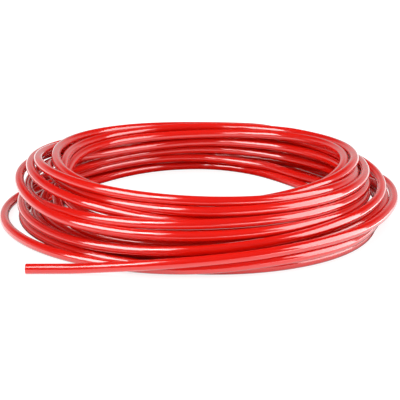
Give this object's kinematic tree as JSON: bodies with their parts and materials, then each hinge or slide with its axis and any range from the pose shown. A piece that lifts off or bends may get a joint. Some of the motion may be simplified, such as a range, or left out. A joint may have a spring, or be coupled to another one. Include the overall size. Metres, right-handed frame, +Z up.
{
  "type": "coiled air hose",
  "caption": "Glossy red plastic air hose laid down in a loose round coil, with two plain square-cut ends and no fittings.",
  "frame": {"origin": "middle of the box around the coil, on the surface that it lies on", "axes": "+Z up; -Y is the front, where the free end lies; +X to the right of the front"},
  "size_m": [0.3479, 0.3516, 0.056],
  "materials": {
    "hose": "smooth glossy extruded polyurethane, solid red"
  },
  "bodies": {
    "root": {"heap": "hose", "outer_turn": "hose", "outer_end": "hose", "tail": "hose", "tail_end": "hose"}
  },
  "joints": []
}
